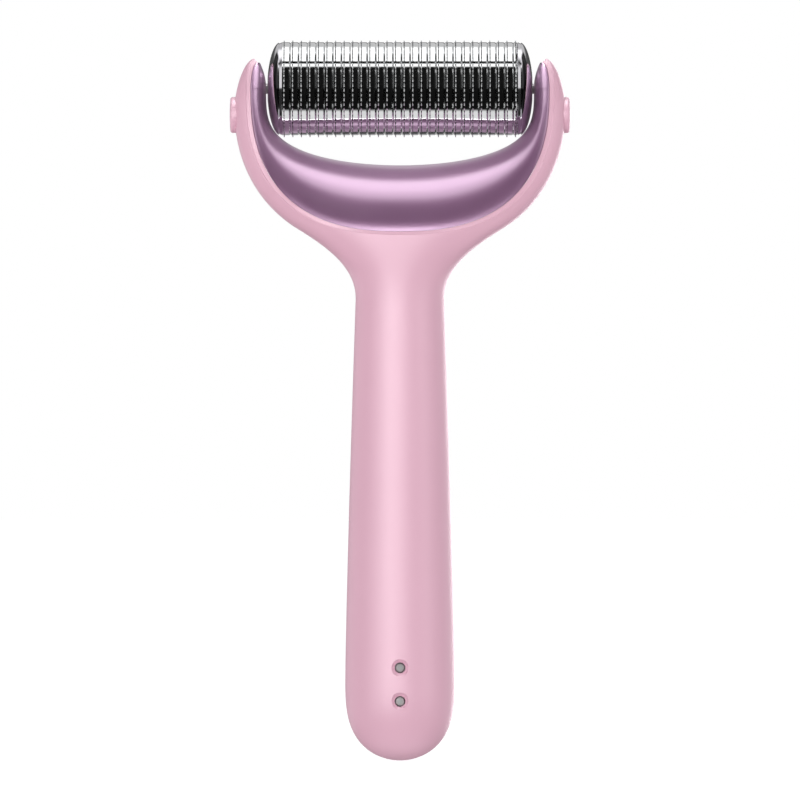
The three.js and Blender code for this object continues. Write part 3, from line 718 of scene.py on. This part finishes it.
# ---- saddle --------------------------------------------------------------------------
def saddle_ring(edge, crest, steps=56):
    """The saddle's section at one station: part of an ellipse from rim to rim, over the crest."""
    up = crest - edge
    height = np.linalg.norm(up)
    up = up / height
    rim = float(depth_at(edge[0], edge[2]))
    low_cad = math.asin(CAD_WAIST / (1 - CAD_WAIST))
    depth = rim / math.cos(low_cad)
    low = math.acos(min(1.0, rim_sink(edge)[0] / depth))
    waist = math.sin(low) / (1 + math.sin(low))
    angles = np.linspace(-low, math.pi + low, steps + 1)
    along = height * (waist + (1 - waist) * np.sin(angles))
    ring = edge + along[:, None] * up
    ring[:, 1] = -depth * np.cos(angles)
    return ring


def make_saddle():
    rings = [saddle_ring(edge, crest) for edge, crest in saddle_stations(28, 120)]
    saddle = new_object("yoke_saddle_form", *loft(rings), None)
    boolean(saddle, mechanism_tools())
    tidy(saddle.data, 50.0)
    repaint(saddle, "mauve_chrome")
    keep(saddle, "yoke_saddle")


# ---- drum ----------------------------------------------------------------------------
RING_RADIUS, RING_BORE = 10.97, 9.6
NEEDLE_TIP, NEEDLES = 11.49, 60      # radius at the tips, and their number round a ring
ROW_INSET = 0.43                     # from a ring's left side to its row of needles
FOOT = dict(base=10.93, ridge=11.08, along=0.16, first=-0.42, last=0.24, hip=0.10)
NEEDLE = dict(base=10.92, neck=11.36, place=0.40, half=0.13, half_neck=0.10)
BEVEL, BEVEL_DROP = 0.36, 0.234      # the bevel on each ring's right edge
ROUND = 192                          # sides of a turned piece of the drum
CAP = dict(gap=0.05, shoulder=0.4, dome=3.15, hub=2.75, wall=1.2, relief=0.2, skirt=8.2, skirt_bore=7.2,
           skirt_length=2.8, hub_bore=4.2, bevel=0.31, bevel_length=0.68, dome_from=0.8)
BUSH = dict(start=28.7, end=31.15, bore=1.3, radius=2.65, rounding=0.12)


def needles(row_x):
    """One row of needles, each a tapered square point beside the low ridged foot that carries it."""
    vertices, faces = [], []
    along = np.array((1.0, 0.0, 0.0))
    for i in range(NEEDLES):
        angle = TURN * (i + 0.5) / NEEDLES
        radial = np.array((0.0, math.sin(angle), math.cos(angle)))
        around = np.array((0.0, math.cos(angle), -math.sin(angle)))
        middle = row_x * along

        def point(radius, side, turn):
            return middle + radius * radial + side * along + turn * around

        start = len(vertices)
        first, last = FOOT["first"], FOOT["last"]
        for side, turn in ((-1, first), (1, first), (1, last), (-1, last)):
            vertices.append(point(FOOT["base"], side * FOOT["along"], turn))
        for turn in (first + FOOT["hip"], last - FOOT["hip"]):
            vertices.append(point(FOOT["ridge"], 0.0, turn))
        for face in ((0, 1, 4), (1, 2, 5, 4), (2, 3, 5), (3, 0, 4, 5), (3, 2, 1, 0)):
            faces.append(tuple(start + k for k in face))
        start = len(vertices)
        for radius, half in ((NEEDLE["base"], NEEDLE["half"]), (NEEDLE["neck"], NEEDLE["half_neck"])):
            vertices += [point(radius, side * half, NEEDLE["place"] + turn * half)
                         for side, turn in ((-1, -1), (1, -1), (1, 1), (-1, 1))]
        vertices.append(point(NEEDLE_TIP, 0.0, NEEDLE["place"]))
        for k in range(4):
            n = (k + 1) % 4
            faces.append((start + k, start + n, start + 4 + n, start + 4 + k))
            faces.append((start + 4 + k, start + 4 + n, start + 8))
        faces.append((start + 3, start + 2, start + 1, start))
    return np.array(vertices), faces


def make_ring(index):
    node = f"needle_ring_{index:02d}"
    start, end = (corner[0] for corner in node_box(node))
    profile = [
        (RING_BORE, start), (RING_RADIUS, start), (RING_RADIUS, end - BEVEL),
        (RING_RADIUS - BEVEL_DROP, end), (RING_BORE, end),
    ]
    barrel = revolve(profile, ROUND, "x", closed=True)
    shape = moved(joined(barrel, needles(start + ROW_INSET)), z=AXIS_Z)
    make_from(node, shape, "needle_steel", sharp=12.0)


def cap_profile():
    """The right cap's section: a bevelled rim and a dome outside, a skirt and a hub inside."""
    low, high = node_box("drum_core_tube")
    start = (high[0] - low[0]) / 2 + CAP["gap"]
    shoulder = start + CAP["shoulder"]
    angles = np.linspace(0, math.acos(CAP["hub"] / RING_RADIUS), 40)[1:]
    dome = [(RING_RADIUS * math.cos(a), shoulder + CAP["dome"] * math.sin(a)) for a in angles]
    bevel = (RING_RADIUS - CAP["bevel"], start + CAP["bevel_length"])
    rim = [(CAP["skirt"], start), (RING_RADIUS, start), bevel]
    inside = [
        (CAP["hub"], BUSH["start"]), (CAP["hub_bore"], BUSH["start"]),
        (CAP["hub_bore"], shoulder + CAP["dome"] - CAP["wall"] - CAP["relief"]),
        (CAP["skirt_bore"], shoulder + CAP["wall"]), (CAP["skirt_bore"], start - CAP["skirt_length"]),
        (CAP["skirt"], start - CAP["skirt_length"]),
    ]
    return [*rim, *[point for point in dome if point[1] > start + CAP["dome_from"]], *inside]


def bush_profile():
    bore, radius, start, end = (BUSH[key] for key in ("bore", "radius", "start", "end"))
    section = [(bore, start), (radius, start), (radius, end), (bore, end)]
    return rounded_profile(section, BUSH["rounding"], closed=True)


def make_caps():
    cap = moved(revolve(cap_profile(), ROUND, "x", closed=True), z=AXIS_Z)
    bush = moved(revolve(bush_profile(), 96, "x", closed=True), z=AXIS_Z)
    for name, side in SIDES.items():
        for kind, shape, slot in (("end_cap", cap, "dark_chrome"), ("end_bushing", bush, "white_plastic")):
            make_from(f"{kind}_{name}", on_side(shape, side), slot)


# ---- buttons, contacts and light -----------------------------------------------------
RELEASE = dict(face=40.2, foot=37.15, radius=4.25, crown=0.75, rise=0.6, inset=0.55, edge=0.1)
# The middle of a release button's face: radius, and depth below the highest point.
RELEASE_FACE = ((2.4, 0.06), (1.0, 0.01), (0.0, 0.0))
RELEASE_EARS = dict(x=(36.3, 36.9), y=(-2.5, 2.5), z=(147.3, 156.2))
RELEASE_STEM = dict(radius=0.6, start=35.5, overlap=0.1)
SPRING = dict(seat=37.0, start=36.2, end=36.8, radius=1.25, widening=0.3, wire=0.14,
              turns=2, steps=80, sides=12)
POWER = dict(radius=4.0, edge=0.42, shoulder=0.72, dish=3.3, dish_edge=0.30, sag=0.16, lip=0.14)
POWER_FLANGE = dict(radius=4.8, start=7.3, end=8.0)
LIGHT = dict(radius=0.9, flange=1.6, flange_start=8.1, flange_end=8.9)
# The rounded tip of the light guide, and the dome of a contact: radius, and depth below the tip.
LIGHT_TIP = ((0.9, 0.3), (0.82, 0.12), (0.6, 0.03), (0.0, 0.0))
CONTACT_DOME = ((0.0, 0.0), (0.4, 0.02), (0.75, 0.09), (0.98, 0.22), (1.06, 0.4))
# The rest of a contact, from its dome to its inner end: radius, and place along Y.
CONTACT_SHANK = ((1.06, -8.3), (2.2, -8.3), (2.2, -7.6), (0.6, -7.6), (0.6, -6.0), (0.0, -6.0))


def make_release_buttons():
    face, foot, radius = RELEASE["face"], RELEASE["foot"], RELEASE["radius"]
    shoulder = face - RELEASE["crown"]
    crown = [(radius, shoulder)]
    for a in np.linspace(0, math.pi / 2, 12)[1:]:
        inset, rise = RELEASE["inset"] * (1 - math.cos(a)), RELEASE["rise"] * math.sin(a)
        crown.append((radius - inset, shoulder + rise))
    crown += [(r, face - below) for r, below in RELEASE_FACE]
    base = rounded_profile([(0.0, foot), (radius, foot), (radius, shoulder)], RELEASE["edge"])
    cap = revolve([(0.0, foot), *base[1:-1], *crown], 128, "x")
    ears = moved(block(**RELEASE_EARS), z=-RELEASE_Z)
    stem_span = (RELEASE_STEM["start"], foot + RELEASE_STEM["overlap"])
    stem = turned_tool("x", RELEASE_STEM["radius"], stem_span, sides=32)
    shape = moved(joined(cap, ears, stem), z=RELEASE_Z)
    for name, side in SIDES.items():
        make_from(f"release_button_{name}", on_side(shape, side), "soft_touch_pink")


def spring_coil():
    """A round wire wound in a slightly widening coil along X."""
    wire, along = SPRING["wire"], np.array((1.0, 0.0, 0.0))
    rings = []
    for t in np.arange(SPRING["steps"] + 1) / SPRING["steps"]:
        angle = TURN * SPRING["turns"] * t
        outward = np.array((0.0, math.cos(angle), math.sin(angle)))
        middle = SPRING["radius"] * (1 + SPRING["widening"] * t) * outward
        middle[0] = SPRING["start"] + wire + (SPRING["end"] - SPRING["start"] - 2 * wire) * t
        around = TURN * np.arange(SPRING["sides"])[:, None] / SPRING["sides"]
        rings.append(middle + wire * (np.cos(around) * outward + np.sin(around) * along))
    return moved(loft(rings), z=AXIS_Z)


def make_release_springs():
    """The coil round each drum pin, with a mesh of its own; on the real roller the pin squashes it against
    its seat as it draws back.
    """
    coil = spring_coil()
    for name, side in SIDES.items():
        spring = make_from(f"release_spring_{name}", on_side(coil, side), "screw_steel")
        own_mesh(spring)


def make_power_button():
    top, height = node_box("power_button")[1][1], node_centre("power_button")[2]
    radius, edge, dish = POWER["radius"], POWER["edge"], POWER["dish"]
    start, end = POWER_FLANGE["start"], POWER_FLANGE["end"]
    profile = [(0.0, start), (POWER_FLANGE["radius"], start), (POWER_FLANGE["radius"], end), (radius, end)]
    for a in np.linspace(0, math.pi / 2, 10):
        profile.append((radius - edge + edge * math.cos(a), top - POWER["shoulder"] + edge * math.sin(a)))
    for r in np.linspace(dish, 0.0, 14):
        sunk = POWER["sag"] * math.cos(r / dish * math.pi / 2) - POWER["lip"] * (r / dish) ** 2
        profile.append((r, top - POWER["dish_edge"] - sunk))
    make_from("power_button", moved(revolve(profile, 128, "y"), z=height), "soft_touch_pink")


def make_light_guide():
    low, high = node_box("status_light_pipe")
    radius, flange, start, end = (LIGHT[key] for key in ("radius", "flange", "flange_start", "flange_end"))
    profile = [(0.0, low[1]), (radius, low[1])]
    profile += [(radius, start), (flange, start), (flange, end), (radius, end)]
    profile += [(r, high[1] - below) for r, below in LIGHT_TIP]
    shape = moved(revolve(profile, 64, "y"), z=node_centre("status_light_pipe")[2])
    piece = new_object("status_light_form", *shape, FINISHES["light_pipe"])
    keep(piece, "status_light_pipe")


def make_contacts():
    for place in ("upper", "lower"):
        node = f"charge_contact_{place}"
        face = node_box(node)[0][1]
        profile = [(radius, face + below) for radius, below in CONTACT_DOME]
        shape = revolve([*profile, *CONTACT_SHANK], 96, "y")
        make_from(node, moved(shape, z=node_centre(node)[2]), "contact_metal")


def finish_inner_nodes():
    """The pieces inside keep their CAD shapes and get their finishes."""
    slots = {row["node"]: row["material_slot"] for row in frame["record"]["subparts"]}
    for name, node in frame["nodes"].items():
        if node.hide_render:
            continue
        if not node.material_slots:
            node.data.materials.append(None)
        node.material_slots[0].link = "OBJECT"
        node.material_slots[0].material = FINISHES[slots[name]]


# ---- studio --------------------------------------------------------------------------
def make_floor():
    """A plain pale floor, which sheds no light on the object and isn't mirrored in it."""
    mesh = bpy.data.meshes.new("floor")
    size = 6.0
    corners = [(-size, -size, 0), (size, -size, 0), (size, size, 0), (-size, size, 0)]
    mesh.from_pydata(corners, [], [(0, 1, 2, 3)])
    floor = bpy.data.objects.new("floor", mesh)
    bpy.context.scene.collection.objects.link(floor)
    material = bpy.data.materials.new("pale_floor")
    material.use_nodes = True
    shader = material.node_tree.nodes["Principled BSDF"]
    shader.inputs["Base Color"].default_value = (0.35, 0.35, 0.35, 1)
    shader.inputs["Roughness"].default_value = 0.9
    shader.inputs["Specular IOR Level"].default_value = 0.0
    shader.inputs["Emission Color"].default_value = (1, 1, 1, 1)
    shader.inputs["Emission Strength"].default_value = 0.85
    mesh.materials.append(material)
    floor.visible_glossy = False
    floor.visible_diffuse = False


class Graph:
    """Small helper that chains maths nodes in the studio's world."""

    def __init__(self, tree):
        self.nodes, self.links = tree.nodes, tree.links

    def feed(self, socket, value):
        if isinstance(value, bpy.types.NodeSocket):
            self.links.new(value, socket)
        else:
            socket.default_value = value

    def maths(self, operation, first, second=0.0):
        node = self.nodes.new("ShaderNodeMath")
        node.operation = operation
        self.feed(node.inputs[0], first)
        self.feed(node.inputs[1], second)
        return node.outputs[0]

    def ease(self, value, low, high, start=0.0, end=1.0):
        node = self.nodes.new("ShaderNodeMapRange")
        node.interpolation_type = "SMOOTHSTEP"
        self.feed(node.inputs["Value"], value)
        for socket, number in zip(("From Min", "From Max", "To Min", "To Max"), (low, high, start, end)):
            node.inputs[socket].default_value = number
        return node.outputs["Result"]

    def stops(self, angle, points):
        """A value looked up by an angle in degrees from -180 to 180."""
        share = self.nodes.new("ShaderNodeMapRange")
        share.inputs["From Min"].default_value = -math.pi
        share.inputs["From Max"].default_value = math.pi
        self.feed(share.inputs["Value"], angle)
        ramp = self.nodes.new("ShaderNodeValToRGB")
        elements = ramp.color_ramp.elements
        elements.remove(elements[1])
        elements[0].position = 0.0
        elements[0].color = (points[0][1],) * 3 + (1.0,)
        for degrees, light in points[1:]:
            elements.new((degrees + 180) / 360).color = (light, light, light, 1.0)
        self.links.new(share.outputs["Result"], ramp.inputs["Fac"])
        return ramp.outputs["Color"]

    def background(self, light):
        node = self.nodes.new("ShaderNodeBackground")
        node.inputs["Color"].default_value = (1, 1, 1, 1)
        self.feed(node.inputs["Strength"], light)
        return node.outputs[0]

    def either(self, switch, first, second):
        node = self.nodes.new("ShaderNodeMixShader")
        self.feed(node.inputs["Fac"], switch)
        self.feed(node.inputs[1], first)
        self.feed(node.inputs[2], second)
        return node.outputs[0]


# The panels that the metals mirror: angle of climb and strength, in the middle and towards the
# two sides. The climb is 0 in front of the object, 90 overhead, 180 behind it and -90 below.
MIDDLE_PANELS = (
    (-180, 0.12), (-165, 0.5), (-150, 0.06), (-118, 0.08), (-106, 0.4), (-94, 0.85), (-60, 0.82),
    (-54, 0.006), (54.5, 0.006), (56.5, 1.4), (62.8, 1.4), (64.2, 0.0), (70.4, 0.0), (71.8, 1.4),
    (118, 1.6), (130, 0.62), (158, 0.6), (166, 0.1), (180, 0.06),
)
SIDE_PANELS = ((-180, 0.03), (-2, 0.03), (3, 0.9), (85, 0.9), (100, 0.03), (180, 0.03))


def make_world():
    """White behind the object, soft all round, and large light panels for the metals to mirror."""
    world = bpy.data.worlds.new("studio")
    bpy.context.scene.world = world
    world.use_nodes = True
    world.node_tree.nodes.clear()
    graph = Graph(world.node_tree)
    split = graph.nodes.new("ShaderNodeSeparateXYZ")
    graph.links.new(graph.nodes.new("ShaderNodeTexCoord").outputs["Generated"], split.inputs["Vector"])
    x, y, z = split.outputs
    climb = graph.maths("ARCTAN2", z, graph.maths("MULTIPLY", y, -1.0))
    squares = graph.maths("ADD", graph.maths("MULTIPLY", y, y), graph.maths("MULTIPLY", z, z))
    upright = graph.maths("MAXIMUM", graph.maths("SQRT", squares), 0.001)
    sideways = graph.maths("DIVIDE", graph.maths("ABSOLUTE", x), upright)
    inner, outer = graph.stops(climb, MIDDLE_PANELS), graph.stops(climb, SIDE_PANELS)
    inner = graph.maths("MULTIPLY", inner, graph.ease(sideways, 0.62, 0.82, 1.0, 0.02))
    outer = graph.maths("MULTIPLY", outer, graph.ease(sideways, 0.80, 0.95))
    outer = graph.maths("MULTIPLY", outer, graph.ease(sideways, 1.2, 1.35, 1.0, 0.05))
    mirror = graph.maths("ADD", inner, outer)
    soft = graph.ease(z, -1.0, 1.0, 0.95, 0.50)
    path = graph.nodes.new("ShaderNodeLightPath").outputs
    lit = graph.either(path["Is Glossy Ray"], graph.background(soft), graph.background(mirror))
    surface = graph.either(path["Is Camera Ray"], lit, graph.background(1.0))
    output = graph.nodes.new("ShaderNodeOutputWorld")
    graph.links.new(surface, output.inputs["Surface"])


def area_light(name, place, target, size, power):
    light = bpy.data.lights.new(name, "AREA")
    light.shape = "RECTANGLE"
    light.size, light.size_y = size
    light.energy = power
    lamp = bpy.data.objects.new(name, light)
    bpy.context.scene.collection.objects.link(lamp)
    lamp.location = place
    lamp.rotation_euler = (Vector(target) - Vector(place)).to_track_quat("-Z", "Y").to_euler()
    lamp.visible_camera = False
    return lamp


def soft_box(*settings):
    """A light that sheds soft light on everything and isn't mirrored."""
    area_light(*settings).visible_glossy = False


def gloss(*settings, finish, past_drum=False):
    """A light seen only in the reflections of one finish. Past_drum stops others blocking it."""
    lamp = area_light(*settings)
    lamp.visible_diffuse = False
    group = bpy.data.collections.new(f"{lamp.name}_pieces")
    for piece in bpy.context.scene.objects:
        if piece.type == "MESH" and FINISHES[finish] in piece.data.materials[:]:
            group.objects.link(piece)
    lamp.light_linking.receiver_collection = group
    if past_drum:
        lamp.light_linking.blocker_collection = group


def make_lights():
    middle, yoke, drum = (0.0, 0.0, 0.09), (0.0, 0.0, 0.135), (0.0, 0.0, AXIS_Z * MM)
    pink, mauve = dict(finish="soft_touch_pink"), dict(finish="mauve_chrome")
    mauve_past_drum = dict(finish="mauve_chrome", past_drum=True)
    steel = dict(finish="needle_steel")
    soft_box("key", (-0.40, -0.95, 0.20), middle, (0.6, 0.7), 3.7)
    soft_box("fill", (0.85, -0.5, 0.12), middle, (0.4, 0.7), 2.2)
    soft_box("left_fill", (-0.9, -0.4, 0.0), middle, (0.4, 0.6), 0.7)
    soft_box("back_key", (0.40, 0.95, 0.20), middle, (0.6, 0.7), 3.7)
    gloss("back_satin", (0.25, 1.0, 0.24), middle, (0.74, 0.8), 7.5, **pink)
    gloss("satin_gloss", (-0.25, -1.0, 0.24), middle, (0.74, 0.8), 8.8, **pink)
    gloss("top_gloss", (0.0, -0.05, 1.1), yoke, (1.0, 0.8), 16.0, **pink)
    gloss("crest_gloss", (0.0, -0.244, 0.683), yoke, (1.0, 0.85), 4.8, **mauve_past_drum)
    gloss("over_gloss", (0.0, 0.17, 0.715), yoke, (1.0, 0.34), 13.0, **mauve_past_drum)
    gloss("foot_gloss", (0.0, -0.26, -0.36), yoke, (0.7, 0.22), 6.0, **mauve)
    for side in (-1, 1):
        gloss("edge_gloss", (0.77 * side, -0.64, 0.12), middle, (0.5, 0.6), 1.0, **pink)
        gloss("outline_gloss", (0.75 * side, 0.55, 0.10), middle, (0.9, 0.8), 1.8, **pink)
        gloss("arm_gloss", (0.78 * side, 0.48, 0.18), yoke, (1.2, 0.9), 5.0, **mauve_past_drum)
        gloss("rib_gloss", (1.0 * side, -0.03, 0.158), drum, (0.5, 1.25), 1.25, **steel)


PICTURE_HEIGHT = 0.1889              # height of the view at the object's middle plane
PICTURE_MIDDLE = 0.0851
CAMERA_DISTANCE = 3.0
SENSOR = 36.0


def make_camera():
    data = bpy.data.cameras.new("camera")
    data.sensor_width = SENSOR
    data.lens = SENSOR * CAMERA_DISTANCE / PICTURE_HEIGHT
    data.clip_end = 30.0
    camera = bpy.data.objects.new("camera", data)
    bpy.context.scene.collection.objects.link(camera)
    camera.location = (0.0, -CAMERA_DISTANCE, PICTURE_MIDDLE)
    camera.rotation_euler = (math.pi / 2, 0.0, 0.0)
    bpy.context.scene.camera = camera


# ---- assembly ------------------------------------------------------------------------
RINGS = 28
make_shells()
make_saddle()
for ring_number in range(1, RINGS + 1):
    make_ring(ring_number)
make_caps()
make_release_buttons()
make_release_springs()
make_power_button()
make_light_guide()
make_contacts()
finish_inner_nodes()
make_floor()
make_world()
make_lights()
make_camera()
bpy.context.scene.view_settings.view_transform = "Standard"
